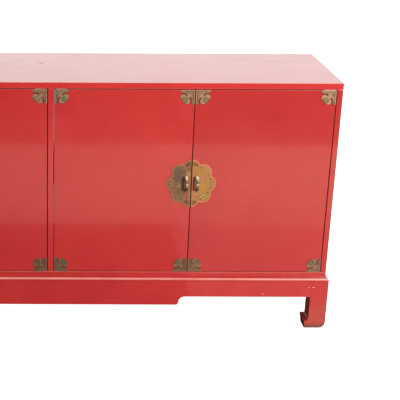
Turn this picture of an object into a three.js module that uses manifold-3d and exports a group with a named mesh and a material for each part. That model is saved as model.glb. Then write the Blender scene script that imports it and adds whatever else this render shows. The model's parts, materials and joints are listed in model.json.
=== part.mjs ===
// A four-door lacquered sideboard on a low base with horse-hoof feet and brass hardware.
// Millimetres, +Z up, the front faces -Y. The origin is on the floor, under the middle of
// everything, pulls included.
import * as THREE from "three";
import { mergeVertices } from "three/addons/utils/BufferGeometryUtils.js";
import Module from "manifold-3d";

// ---------------------------------------------------------------------------
// Driving dimensions
// ---------------------------------------------------------------------------

// Case
const CASE_WIDTH = 1817;
const CASE_DEPTH = 445;
const CASE_HEIGHT = 654;
const PANEL = 18;
const TOP_PANEL = 19.5;
const BOTTOM_PANEL = 18;
const BACK_PANEL = 6;
const BACK_RECESS = 8;
const JOINT_GAP = 0.3;

// Shelves
const SHELF_THICKNESS = 16;
const SHELF_HEIGHT = 318; // top of the shelf above the bottom panel
const SHELF_SETBACK = 30; // behind the doors
const CLEAT = 18;

// Base
const BASE_HEIGHT = 186;
const BASE_FRONT_PROUD = 14;
const BASE_SIDE_PROUD = 9;
const BOARD_THICKNESS = 12;
const BOARD_ARRIS = 5;
const APRON_THICKNESS = 20;
const APRON_DROP = 53; // below the board
const APRON_CENTRE_DROP = 83; // below the board, in the deeper middle
const APRON_CENTRE_WIDTH = 832; // straight lower edge of the deeper middle
const APRON_CORNER_RADIUS = 8;
const APRON_COVE_RADIUS = 22;

// Legs
const LEG_WIDTH = 57;
const LEG_DEPTH = 60;
const HOOF_REACH = 13; // how far the tip of the hoof stands inwards of the leg
const HOOF_HEIGHT = 33;
const HOOF_SLANT = 5; // how far the hoof runs back under its tip
const HOOF_FILLET = 8;
const TOE_WIDTH = 20; // rounding under the outer edges
const TOE_HEIGHT = 31;

// Doors
const DOOR_THICKNESS = 18;
const DOOR_GAP = 2.5;

// Pivot hinges
const PIVOT_INSET = 10; // from the hinge edge of the door
const PIVOT_DEPTH = 5.5; // behind the front face of the door
const PIN_RADIUS = 2.5;
const PIN_REACH = 9; // into the door
const PIN_CLEARANCE = 0.4;
const PLATE_LENGTH = 34;
const PLATE_WIDTH = 12;
const PLATE_THICKNESS = 2;

// Catches
const CATCH_WIDTH = 46;
const CATCH_DEPTH = 20;
const CATCH_HEIGHT = 14;
const CATCH_SETBACK = 1.2; // behind the doors

// Brass
const SHEET = 1.2; // thickness of the corner mounts
const MOUNT_SIZE = 46;
const MOUNT_INSET = 0.5; // from the edges of the door
const MOUNT_LIFT = 0.3; // clear of the door
const ESCUTCHEON_RADIUS = 80;
const ESCUTCHEON_NOTCH_RADIUS = 68.6;
const ESCUTCHEON_LOBES = 8;
const ESCUTCHEON_THICKNESS = 1.6;
const ESCUTCHEON_DROP = 329; // its centre below the top of the case
const PULL_HEIGHT = 52;
const PULL_PROUD = 26; // in front of the door
const PULL_WIDTH = 11;
const PULL_THICKNESS = 6;
const PULL_OFFSET = 17; // from the middle of the gap between the doors

// ---------------------------------------------------------------------------
// Places that follow from them
// ---------------------------------------------------------------------------

const QUARTER = Math.PI / 2;
const FRONT_PROUD = Math.max(PULL_PROUD, BASE_FRONT_PROUD);
const CASE_FRONT = FRONT_PROUD - (CASE_DEPTH + FRONT_PROUD) / 2;
const CASE_BACK = CASE_FRONT + CASE_DEPTH;
const CASE_BOTTOM = BASE_HEIGHT + JOINT_GAP;
const CASE_TOP = BASE_HEIGHT + CASE_HEIGHT;
const CASE_HALF = CASE_WIDTH / 2;

const FLOOR_TOP = CASE_BOTTOM + BOTTOM_PANEL;
const CEILING = CASE_TOP - TOP_PANEL;
const SIDE_INNER = CASE_HALF - PANEL;
const PARTITION_HALF = PANEL / 2;
const BACK_FACE = CASE_BACK - BACK_RECESS - BACK_PANEL; // inside face of the back panels

const DOOR_BOTTOM = FLOOR_TOP + DOOR_GAP;
const DOOR_HEIGHT = CEILING - DOOR_GAP - DOOR_BOTTOM;
const BAY_WIDTH = SIDE_INNER - PARTITION_HALF;
const BAY_MIDDLE = (SIDE_INNER + PARTITION_HALF) / 2;
const DOOR_WIDTH = (BAY_WIDTH - 3 * DOOR_GAP) / 2;
const DOOR_BACK = CASE_FRONT + DOOR_THICKNESS;
const PIVOT_Y = CASE_FRONT + PIVOT_DEPTH;

const SHELF_TOP = FLOOR_TOP + SHELF_HEIGHT;
const SHELF_BOTTOM = SHELF_TOP - SHELF_THICKNESS;
const SHELF_FRONT = DOOR_BACK + SHELF_SETBACK;

const BASE_HALF = CASE_HALF + BASE_SIDE_PROUD;
const BASE_FRONT = CASE_FRONT - BASE_FRONT_PROUD;
const BOARD_BOTTOM = BASE_HEIGHT - BOARD_THICKNESS;
const FRAME_TOP = BOARD_BOTTOM - JOINT_GAP; // top of the legs and aprons

// ---------------------------------------------------------------------------
// Finishes
// ---------------------------------------------------------------------------

const finish = (color, roughness, metalness) => () =>
  new THREE.MeshStandardMaterial({ color, roughness, metalness });

const redLacquer = finish(0xc9383a, 0.25, 0);
const insideLacquer = finish(0x7d2422, 0.5, 0);
const backBoard = finish(0x8a6a4a, 0.8, 0);
const agedBrass = finish(0x9c8758, 0.42, 1);
const brightBrass = finish(0xc8a860, 0.3, 1);
const hingeSteel = finish(0x8c8a84, 0.4, 1);
const catchPlastic = finish(0x4a3a2c, 0.6, 0);

// ---------------------------------------------------------------------------
// Solids
// ---------------------------------------------------------------------------

const wasm = await Module();
wasm.setup();

function solidOf(geometry) {
  const bare = geometry.index ? geometry.toNonIndexed() : geometry.clone();
  bare.deleteAttribute("normal");
  bare.deleteAttribute("uv");
  const merged = mergeVertices(bare, 1e-4);
  return new wasm.Manifold(
    new wasm.Mesh({
      numProp: 3,
      vertProperties: merged.attributes.position.array,
      triVerts: new Uint32Array(merged.index.array),
    }),
  );
}

function geometryOf(solid) {
  const mesh = solid.getMesh();
  const geometry = new THREE.BufferGeometry();
  geometry.setAttribute("position", new THREE.BufferAttribute(mesh.vertProperties, 3));
  geometry.setIndex(new THREE.BufferAttribute(mesh.triVerts, 1));
  const flat = geometry.toNonIndexed();
  flat.computeVertexNormals();
  return flat;
}

const cut = (geometry, ...tools) =>
  geometryOf(tools.reduce((left, tool) => left.subtract(solidOf(tool)), solidOf(geometry)));
const join = (geometry, ...others) =>
  geometryOf(others.reduce((left, other) => left.add(solidOf(other)), solidOf(geometry)));
const common = (geometry, other) => geometryOf(solidOf(geometry).intersect(solidOf(other)));

// A box between two limits along each axis, in either order.
function block([x0, x1], [y0, y1], [z0, z1]) {
  const size = [x1 - x0, y1 - y0, z1 - z0].map(Math.abs);
  return new THREE.BoxGeometry(...size).translate((x0 + x1) / 2, (y0 + y1) / 2, (z0 + z1) / 2);
}

// A round pin standing on z0.
function pin(radius, x, y, z0, z1, sides = 16) {
  return new THREE.CylinderGeometry(radius, radius, z1 - z0, sides)
    .rotateX(QUARTER)
    .translate(x, y, (z0 + z1) / 2);
}

// An outline drawn in X and Z, given a depth from y0 to y1.
function frontal(shape, y0, y1, curveSegments = 8) {
  return new THREE.ExtrudeGeometry(shape, { depth: y1 - y0, bevelEnabled: false, curveSegments })
    .rotateX(QUARTER)
    .translate(0, y1, 0);
}

// An outline drawn in Y and Z, given a width from x0 to x1.
function sideways(shape, x0, x1, curveSegments = 8) {
  return new THREE.ExtrudeGeometry(shape, { depth: x1 - x0, bevelEnabled: false, curveSegments })
    .rotateX(QUARTER)
    .rotateZ(QUARTER)
    .translate(x0, 0, 0);
}

const sideboard = new THREE.Group();

function add(parent, name, geometry, material) {
  const mesh = new THREE.Mesh(geometry, material());
  mesh.name = name;
  parent.add(mesh);
  return mesh;
}

// ---------------------------------------------------------------------------
// Doors: where each one hangs. "side" is +1 where the free edge lies towards +X.
// ---------------------------------------------------------------------------

const DOORS = [
  { name: "left_outer", hinge: -SIDE_INNER, side: 1 },
  { name: "left_inner", hinge: -PARTITION_HALF, side: -1 },
  { name: "right_inner", hinge: PARTITION_HALF, side: 1 },
  { name: "right_outer", hinge: SIDE_INNER, side: -1 },
];
const pivotX = ({ hinge, side }) => hinge + side * (DOOR_GAP + PIVOT_INSET);

// ---------------------------------------------------------------------------
// Case
// ---------------------------------------------------------------------------

// The shallow pocket that a hinge plate lies in, open towards the door.
function hingePocket(door, z0, z1) {
  const x = pivotX(door);
  const near = x - door.side * (PLATE_WIDTH / 2 + JOINT_GAP);
  const far = x + door.side * (PLATE_LENGTH - PLATE_WIDTH / 2 + JOINT_GAP);
  const half = PLATE_WIDTH / 2 + JOINT_GAP;
  const front = Math.max(PIVOT_Y - half, CASE_FRONT + JOINT_GAP);
  return block([near, far], [front, PIVOT_Y + half], [z0, z1]);
}

function buildCase() {
  const pocket = PLATE_THICKNESS + JOINT_GAP;
  const full = [CASE_FRONT, CASE_BACK];
  const upright = [FLOOR_TOP + JOINT_GAP, CEILING - JOINT_GAP];
  const top = block([-CASE_HALF, CASE_HALF], full, [CEILING, CASE_TOP]);
  const bottom = block([-CASE_HALF, CASE_HALF], full, [CASE_BOTTOM, FLOOR_TOP]);
  const over = DOORS.map((door) => hingePocket(door, CEILING - 1, CEILING + pocket));
  const under = DOORS.map((door) => hingePocket(door, FLOOR_TOP - pocket, FLOOR_TOP + 1));
  add(sideboard, "top_panel", cut(top, ...over), redLacquer);
  add(sideboard, "bottom_panel", cut(bottom, ...under), redLacquer);
  add(sideboard, "left_side_panel", block([-CASE_HALF, -SIDE_INNER], full, upright), redLacquer);
  add(sideboard, "right_side_panel", block([SIDE_INNER, CASE_HALF], full, upright), redLacquer);
  add(sideboard, "centre_partition", block([-PARTITION_HALF, PARTITION_HALF], full, upright), redLacquer);
}

function buildBay(name, side) {
  const inner = side * (PARTITION_HALF + JOINT_GAP);
  const outer = side * (SIDE_INNER - JOINT_GAP);
  const upright = [FLOOR_TOP + JOINT_GAP, CEILING - JOINT_GAP];
  const back = block([inner, outer], [BACK_FACE, BACK_FACE + BACK_PANEL], upright);
  const run = [SHELF_FRONT, BACK_FACE - JOINT_GAP];
  const shelf = block([inner, outer], run, [SHELF_BOTTOM, SHELF_TOP]);
  const cleatHeight = [SHELF_BOTTOM - JOINT_GAP - CLEAT, SHELF_BOTTOM - JOINT_GAP];
  add(sideboard, `${name}_back_panel`, back, backBoard);
  add(sideboard, `${name}_shelf`, shelf, insideLacquer);
  const innerCleat = block([inner, inner + side * CLEAT], run, cleatHeight);
  const outerCleat = block([outer, outer - side * CLEAT], run, cleatHeight);
  add(sideboard, `${name}_inner_cleat`, innerCleat, insideLacquer);
  add(sideboard, `${name}_outer_cleat`, outerCleat, insideLacquer);
}

// A double magnetic catch under the top panel, behind the meeting edges of a pair of doors.
function buildCatch(name, side) {
  const middle = side * BAY_MIDDLE;
  const front = DOOR_BACK + CATCH_SETBACK;
  const top = CEILING - JOINT_GAP;
  const body = block(
    [middle - CATCH_WIDTH / 2, middle + CATCH_WIDTH / 2],
    [front, front + CATCH_DEPTH],
    [top - CATCH_HEIGHT, top],
  );
  add(sideboard, `${name}_catch`, body, catchPlastic);
}

// ---------------------------------------------------------------------------
// Base
// ---------------------------------------------------------------------------

// A board with its upper edges rounded at the front and at both ends.
function buildBoard() {
  const across = new THREE.Shape();
  across.moveTo(-BASE_HALF, BOARD_BOTTOM);
  across.lineTo(BASE_HALF, BOARD_BOTTOM);
  across.absarc(BASE_HALF - BOARD_ARRIS, BASE_HEIGHT - BOARD_ARRIS, BOARD_ARRIS, 0, QUARTER);
  across.absarc(-BASE_HALF + BOARD_ARRIS, BASE_HEIGHT - BOARD_ARRIS, BOARD_ARRIS, QUARTER, 2 * QUARTER);
  const along = new THREE.Shape();
  along.moveTo(CASE_BACK, BOARD_BOTTOM);
  along.lineTo(CASE_BACK, BASE_HEIGHT);
  along.absarc(BASE_FRONT + BOARD_ARRIS, BASE_HEIGHT - BOARD_ARRIS, BOARD_ARRIS, QUARTER, 2 * QUARTER);
  along.lineTo(BASE_FRONT, BOARD_BOTTOM);
  const board = common(
    frontal(across, BASE_FRONT, CASE_BACK, 5),
    sideways(along, -BASE_HALF, BASE_HALF, 5),
  );
  add(sideboard, "base_board", board, redLacquer);
}

// The front apron: its middle hangs lower, and steps up to the ends through a rounded corner
// and a cove.
function buildFrontApron() {
  const half = BASE_HALF - LEG_WIDTH - JOINT_GAP;
  const shallow = FRAME_TOP - APRON_DROP;
  const deep = FRAME_TOP - APRON_CENTRE_DROP;
  const flat = APRON_CENTRE_WIDTH / 2;
  const step = flat + APRON_CORNER_RADIUS; // where the rounded corner turns upright
  const cove = Math.min(APRON_COVE_RADIUS, shallow - deep - APRON_CORNER_RADIUS);
  const outline = new THREE.Shape();
  outline.moveTo(half, FRAME_TOP);
  outline.lineTo(-half, FRAME_TOP);
  outline.lineTo(-half, shallow);
  outline.absarc(-step - cove, shallow - cove, cove, QUARTER, 0, true);
  outline.absarc(-flat, deep + APRON_CORNER_RADIUS, APRON_CORNER_RADIUS, 2 * QUARTER, 3 * QUARTER);
  outline.absarc(flat, deep + APRON_CORNER_RADIUS, APRON_CORNER_RADIUS, 3 * QUARTER, 4 * QUARTER);
  outline.absarc(step + cove, shallow - cove, cove, 2 * QUARTER, QUARTER, true);
  outline.lineTo(half, shallow);
  add(sideboard, "front_apron", frontal(outline, BASE_FRONT, BASE_FRONT + APRON_THICKNESS, 6), redLacquer);
}

function buildPlainAprons() {
  const height = [FRAME_TOP - APRON_DROP, FRAME_TOP];
  const half = BASE_HALF - LEG_WIDTH - JOINT_GAP;
  const back = block([-half, half], [CASE_BACK - APRON_THICKNESS, CASE_BACK], height);
  add(sideboard, "back_apron", back, redLacquer);
  const run = [BASE_FRONT + LEG_DEPTH + JOINT_GAP, CASE_BACK - LEG_DEPTH - JOINT_GAP];
  for (const [name, side] of [["left", -1], ["right", 1]]) {
    const apron = block([side * (BASE_HALF - APRON_THICKNESS), side * BASE_HALF], run, height);
    add(sideboard, `${name}_apron`, apron, redLacquer);
  }
}

// One face of a leg. "in" runs from the outer face inwards, and the second value is the height.
function legProfile(width, to) {
  const tip = width + HOOF_REACH;
  const toeSteps = 6;
  const filletSteps = 4;
  const points = [[0, FRAME_TOP]];
  for (let i = 0; i <= toeSteps; i += 1) {
    const turn = (QUARTER * i) / toeSteps;
    points.push([TOE_WIDTH * (1 - Math.cos(turn)), TOE_HEIGHT * (1 - Math.sin(turn))]);
  }
  points.push([tip - HOOF_SLANT, 0], [tip, HOOF_HEIGHT]);
  for (let i = 0; i <= filletSteps; i += 1) {
    const turn = (QUARTER * i) / filletSteps;
    const across = width + HOOF_FILLET * (1 - Math.sin(turn));
    points.push([across, HOOF_HEIGHT + HOOF_FILLET * (1 - Math.cos(turn))]);
  }
  points.push([width, FRAME_TOP]);
  return new THREE.Shape(points.map(([inward, height]) => new THREE.Vector2(to(inward), height)));
}

// sideX and sideY say which outer corner of the base the leg stands at.
function buildLeg(name, sideX, sideY) {
  const face = sideY < 0 ? BASE_FRONT : CASE_BACK;
  const atX = (inward) => sideX * (BASE_HALF - inward);
  const atY = (inward) => face - sideY * inward;
  const xs = [atX(0), atX(LEG_WIDTH + HOOF_REACH)].sort((a, b) => a - b);
  const ys = [atY(0), atY(LEG_DEPTH + HOOF_REACH)].sort((a, b) => a - b);
  const leg = common(
    frontal(legProfile(LEG_WIDTH, atX), ...ys),
    sideways(legProfile(LEG_DEPTH, atY), ...xs),
  );
  add(sideboard, name, leg, redLacquer);
}

// ---------------------------------------------------------------------------
// Hinges: a plate let into the case, with a pin that stands into the door
// ---------------------------------------------------------------------------

function buildHinge(door, where) {
  const up = where === "top" ? 1 : -1;
  const face = up > 0 ? CEILING : FLOOR_TOP; // the case face that the plate is let into
  const x = pivotX(door);
  const half = PLATE_WIDTH / 2;
  const front = Math.max(PIVOT_Y - half, CASE_FRONT + 2 * JOINT_GAP);
  const plate = block(
    [x - door.side * half, x + door.side * (PLATE_LENGTH - half)],
    [front, PIVOT_Y + half],
    [face, face + up * PLATE_THICKNESS],
  );
  const tip = face - up * (DOOR_GAP + PIN_REACH);
  const root = face + (up * PLATE_THICKNESS) / 2;
  const stem = pin(PIN_RADIUS, x, PIVOT_Y, Math.min(tip, root), Math.max(tip, root));
  add(sideboard, `${door.name}_${where}_hinge`, join(plate, stem), hingeSteel);
}

// ---------------------------------------------------------------------------
// A door and what is fixed to it, drawn about its pivot: x runs towards +X, y towards the back,
// z up from the bottom edge. "side" mirrors it.
// ---------------------------------------------------------------------------

const DOOR_FACE = -PIVOT_DEPTH;
const HINGE_EDGE = -PIVOT_INSET;
const FREE_EDGE = DOOR_WIDTH - PIVOT_INSET;

function doorPanel(side) {
  const slab = block(
    [side * HINGE_EDGE, side * FREE_EDGE],
    [DOOR_FACE, DOOR_FACE + DOOR_THICKNESS],
    [0, DOOR_HEIGHT],
  );
  const radius = PIN_RADIUS + PIN_CLEARANCE;
  const depth = PIN_REACH + 2;
  return cut(slab, pin(radius, 0, 0, -1, depth), pin(radius, 0, 0, DOOR_HEIGHT - depth, DOOR_HEIGHT + 1));
}

// A corner mount: an arm along each edge, and a rounded cloud head on the diagonal, parted from
// each arm by a comma-shaped slot. Drawn with its corner at 0,0. The second half of the outline
// mirrors the first in the diagonal.
function mountShape() {
  const unit = MOUNT_SIZE / 50;
  const start = [50, 0];
  const arm = { bend: [50, 7], end: [43, 9.2] };
  const slot = [
    { bend: [37, 10], end: [35, 10.2] },
    { bend: [26, 11.5], end: [25.5, 19] },
    { bend: [26, 22.5], end: [29, 22] },
    { bend: [30, 16], end: [38, 14.8] },
  ];
  const head = [
    { bend: [47.5, 14], end: [48.5, 25] },
    { bend: [48.5, 31], end: [42, 37] },
  ];
  const first = [arm, ...slot, ...head];
  const flipped = ([x, y]) => [y, x];
  const ends = [start, ...first.map((curve) => curve.end)];
  const crown = { bend: [40.5, 40.5], end: flipped(ends.at(-1)) };
  const second = first
    .map((curve, i) => ({ bend: flipped(curve.bend), end: flipped(ends[i]) }))
    .reverse();
  const shape = new THREE.Shape();
  shape.moveTo(0, 0);
  shape.lineTo(...start.map((value) => value * unit));
  for (const { bend, end } of [...first, crown, ...second]) {
    shape.quadraticCurveTo(...[...bend, ...end].map((value) => value * unit));
  }
  return shape;
}

// "across" and "up" are +1 where the mount's arms run towards +X and +Z.
function cornerMount(x, z, across, up) {
  const front = DOOR_FACE - MOUNT_LIFT - SHEET;
  const plate = frontal(mountShape(), front, front + SHEET, 5);
  // A quarter turn for each corner keeps the faces outwards; the shape is its own mirror image.
  const turns = { "1,1": 0, "1,-1": 1, "-1,-1": 2, "-1,1": 3 };
  return plate.rotateY(QUARTER * turns[`${across},${up}`]).translate(x, 0, z);
}

// A full round of lobes: each lobe is an arc, and neighbours meet in a notch.
function lobedShape() {
  const half = Math.PI / ESCUTCHEON_LOBES;
  const [outer, notch] = [ESCUTCHEON_RADIUS, ESCUTCHEON_NOTCH_RADIUS];
  const centre = (outer ** 2 - notch ** 2) / (2 * (outer - notch * Math.cos(half)));
  const spread = Math.atan2(notch * Math.sin(half), notch * Math.cos(half) - centre);
  const shape = new THREE.Shape();
  for (let i = 0; i < ESCUTCHEON_LOBES; i += 1) {
    const turn = 2 * half * i;
    const at = [centre * Math.cos(turn), centre * Math.sin(turn)];
    shape.absarc(...at, outer - centre, turn - spread, turn + spread);
  }
  return shape;
}

// The half of the lobed plate that is on this door.
function escutcheonHalf(side) {
  const middle = side * (FREE_EDGE + DOOR_GAP / 2);
  const height = CASE_TOP - ESCUTCHEON_DROP - DOOR_BOTTOM;
  const back = DOOR_FACE - MOUNT_LIFT;
  const front = back - ESCUTCHEON_THICKNESS;
  const plate = frontal(lobedShape(), front, back, 7).translate(middle, 0, height);
  const reach = ESCUTCHEON_RADIUS + 1;
  const keep = block(
    [side * FREE_EDGE, side * (FREE_EDGE - reach)],
    [front - 1, back + 1],
    [height - reach, height + reach],
  );
  return common(plate, keep);
}

// A bow pull standing on the escutcheon.
function bowPull(side) {
  const middle = side * (FREE_EDGE + DOOR_GAP / 2 - PULL_OFFSET);
  const height = CASE_TOP - ESCUTCHEON_DROP - DOOR_BOTTOM;
  const foot = DOOR_FACE - MOUNT_LIFT - ESCUTCHEON_THICKNESS - JOINT_GAP;
  const rise = PULL_PROUD + foot - DOOR_FACE;
  const half = PULL_HEIGHT / 2;
  const bow = new THREE.Shape();
  bow.absellipse(foot, height, rise, half, QUARTER, 3 * QUARTER, false, 0);
  bow.absellipse(foot, height, rise - PULL_THICKNESS, half - PULL_THICKNESS, 3 * QUARTER, QUARTER, true, 0);
  return sideways(bow, middle - PULL_WIDTH / 2, middle + PULL_WIDTH / 2, 14);
}

function buildDoor({ name, hinge, side }) {
  const door = new THREE.Group();
  door.position.set(pivotX({ hinge, side }), PIVOT_Y, DOOR_BOTTOM);
  sideboard.add(door);
  add(door, `${name}_door`, doorPanel(side), redLacquer);
  for (const [edge, across] of [[HINGE_EDGE + MOUNT_INSET, side], [FREE_EDGE - MOUNT_INSET, -side]]) {
    const hand = across > 0 ? "left" : "right";
    const x = side * edge;
    const lower = cornerMount(x, MOUNT_INSET, across, 1);
    const upper = cornerMount(x, DOOR_HEIGHT - MOUNT_INSET, across, -1);
    add(door, `${name}_bottom_${hand}_corner`, lower, agedBrass);
    add(door, `${name}_top_${hand}_corner`, upper, agedBrass);
  }
  add(door, `${name}_escutcheon`, escutcheonHalf(side), agedBrass);
  add(door, `${name}_pull`, bowPull(side), brightBrass);
}

// ---------------------------------------------------------------------------
// The whole sideboard
// ---------------------------------------------------------------------------

buildCase();
for (const [name, side] of [["left", -1], ["right", 1]]) {
  buildBay(name, side);
  buildCatch(name, side);
}
buildBoard();
buildFrontApron();
buildPlainAprons();
buildLeg("front_left_leg", -1, -1);
buildLeg("front_right_leg", 1, -1);
buildLeg("back_left_leg", -1, 1);
buildLeg("back_right_leg", 1, 1);
for (const door of DOORS) {
  buildHinge(door, "top");
  buildHinge(door, "bottom");
  buildDoor(door);
}

export default sideboard;
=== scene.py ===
"""A red lacquered four-door sideboard: the finish, the brass and the small pieces.

Metres, +Z up, the front faces -Y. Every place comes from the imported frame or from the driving
sizes below, and each finished piece has its place in its mesh.
"""
import contextlib
import json
import math

import bmesh
import bpy
from mathutils import Matrix, Vector


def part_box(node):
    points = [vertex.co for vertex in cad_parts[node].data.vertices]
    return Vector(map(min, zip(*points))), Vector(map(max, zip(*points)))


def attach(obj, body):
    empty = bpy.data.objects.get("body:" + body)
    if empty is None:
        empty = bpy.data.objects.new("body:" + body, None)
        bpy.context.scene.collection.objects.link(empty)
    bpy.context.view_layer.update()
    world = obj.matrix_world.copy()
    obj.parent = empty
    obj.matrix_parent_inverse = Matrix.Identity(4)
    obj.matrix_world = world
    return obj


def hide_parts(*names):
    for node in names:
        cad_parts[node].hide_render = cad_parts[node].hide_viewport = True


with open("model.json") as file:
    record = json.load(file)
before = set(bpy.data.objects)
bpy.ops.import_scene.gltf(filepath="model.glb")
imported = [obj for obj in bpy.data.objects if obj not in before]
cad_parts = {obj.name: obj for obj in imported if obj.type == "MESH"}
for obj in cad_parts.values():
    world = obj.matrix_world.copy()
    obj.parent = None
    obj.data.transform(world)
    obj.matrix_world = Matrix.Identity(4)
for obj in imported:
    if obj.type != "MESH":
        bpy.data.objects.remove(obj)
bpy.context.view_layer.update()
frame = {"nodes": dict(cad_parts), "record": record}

MM = 0.001
QUARTER = math.pi / 2

# ---- Places that come from the frame ----

DOORS = ("left_outer", "left_inner", "right_inner", "right_outer")
FREE_SIDE = {"left_outer": 1, "left_inner": -1, "right_inner": 1, "right_outer": -1}
PIVOTS = {joint["child"]: Vector(joint["pos_m"]) for joint in frame["record"]["behaviour"]["joints"]}

TOP_LOW, TOP_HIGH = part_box("top_panel")
BOTTOM_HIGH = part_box("bottom_panel")[1]
BOARD_LOW, BOARD_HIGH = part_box("base_board")
CASE_FRONT = TOP_LOW.y
CASE_BACK = TOP_HIGH.y
CASE_TOP = TOP_HIGH.z
BASE_FRONT = BOARD_LOW.y
BASE_SIDE = BOARD_HIGH.x
MOUNT_LOW, MOUNT_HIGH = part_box("right_outer_top_right_corner")
MOUNT_SPAN = MOUNT_HIGH.x - MOUNT_LOW.x

# ---- Sizes of the small pieces ----

ARRIS = 1.4 * MM
DOOR_ARRIS = 0.8 * MM
SMALL_ARRIS = 0.6 * MM
SHEET_ARRIS = 0.45 * MM
PLATE_ARRIS = 0.3 * MM
WELD = 0.01 * MM  # corners of a mesh nearer than this are joined

MOUNT_INSET = 0.5 * MM  # of a mount from the edges of its door

PLATE_RADIUS = 80 * MM  # of the lobed escutcheon
NOTCH_RADIUS = 68.6 * MM
LOBES = 8
LOBE_TURN = 2 * math.pi / LOBES
GROOVE_INSET = 6.2 * MM  # from the lobed edge
PIT_RING = 62 * MM
PIT_TURN = 0.125  # of a pit to each side of a notch, in radians
ROSETTE_ACROSS = 14 * MM
ROSETTE_RISE = 42 * MM
# From the plate's centre and from a lobe's middle line, in radians.
LOBE_STUDS = tuple((radius * MM, turn) for radius, turn in (
    (58, 0.0), (64, -0.075), (64, 0.075), (70, 0.0), (70, -0.13), (70, 0.13)))

WAIST_RISE = 9.5 * MM  # of the waist of a pull over its middle
BOW_STEPS = 40  # rings of faces along the bow of a pull
SCREW_SLOT = (2.1 * MM, 0.4 * MM)  # half the length and half the width of each slot of its cross
MAGNET_ASIDE = 12 * MM  # of each magnet from the middle of its catch

# ---- Camera and staging ----

CAMERA_PLACE = Vector((0.01925, CASE_FRONT - 3.2138, CASE_TOP + 0.7576))
CAMERA_TILT = math.radians(19.60)
CAMERA_ROLL = math.radians(0.239)
CAMERA_LENS = 95.4
SENSOR_WIDTH = 36
FRAME_SHIFT = 0.3587  # the object is framed from its middle to past its right-hand end

FLOOR_REACH = 8.0  # half the floor's side
ROOM_RADIUS = 60.0
WHITE = (1, 1, 1)

# What the polished doors mirror: pale floor between two distances, darker nearer and farther.
PALE_FLOOR_NEAR = CASE_FRONT - 0.98
PALE_FLOOR_FAR = CASE_FRONT - 2.15
CARD_EDGE = 0.50  # where the darker near floor gives way to a paler one, to the right of the middle

# What the top mirrors over its front edge.
PALE_CARD_WIDTH = 2.4
PALE_CARD_HEIGHT = 0.33


def make_camera():
    data = bpy.data.cameras.new("camera")
    data.lens = CAMERA_LENS
    data.sensor_width = SENSOR_WIDTH
    data.shift_x = FRAME_SHIFT
    camera = bpy.data.objects.new("camera", data)
    bpy.context.scene.collection.objects.link(camera)
    turn = Matrix.Rotation(QUARTER - CAMERA_TILT, 4, "X") @ Matrix.Rotation(CAMERA_ROLL, 4, "Z")
    camera.matrix_world = Matrix.Translation(CAMERA_PLACE) @ turn
    bpy.context.scene.camera = camera


def hide_from(card, *rays):
    for ray in rays:
        setattr(card, f"visible_{ray}", False)


def glossy_only(card):
    """Only reflections meet this card or light."""
    hide_from(card, "camera", "diffuse", "transmission", "shadow")


def camera_only(card):
    """Only the camera sees this card, so it neither lights anything nor takes a shadow."""
    hide_from(card, "diffuse", "glossy", "transmission", "shadow")


def stage_plane(name, centre, size, color, emission=0.0, turn=(0, 0, 0)):
    bpy.ops.mesh.primitive_plane_add(size=1, location=centre, rotation=turn)
    plane = bpy.context.object
    plane.name = name
    plane.scale = (*size, 1)
    finish = Finish(name)
    finish.surface({
        "Base Color": (*color, 1),
        "Roughness": 0.9,
        "Emission Color": (*color, 1),
        "Emission Strength": emission,
    })
    plane.data.materials.append(finish.material)
    return plane


def area_light(name, place, aim, size, power):
    data = bpy.data.lights.new(name, "AREA")
    data.shape = "RECTANGLE"
    data.size, data.size_y = size
    data.energy = power
    light = bpy.data.objects.new(name, data)
    bpy.context.scene.collection.objects.link(light)
    light.location = place
    light.rotation_euler = (Vector(aim) - Vector(place)).to_track_quat("-Z", "Y").to_euler()
    light.visible_camera = False
    return light


def make_room():
    """A plain pale ball round everything, seen by the camera alone."""
    bpy.ops.mesh.primitive_uv_sphere_add(segments=32, ring_count=16, radius=ROOM_RADIUS)
    room = bpy.context.object
    room.name = "room"
    finish = Finish("room")
    room.data.materials.append(finish.surface({
        "Base Color": (*WHITE, 1),
        "Emission Color": (*WHITE, 1),
        "Emission Strength": 1.0,
    }))
    camera_only(room)


def floor_card(name, x, y, height, color):
    """A stretch of floor between two limits each way, that only the object sees."""
    centre = (sum(x) / 2, sum(y) / 2, height)
    card = stage_plane(name, centre, (x[1] - x[0], y[1] - y[0]), color)
    card.visible_camera = False


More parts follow.
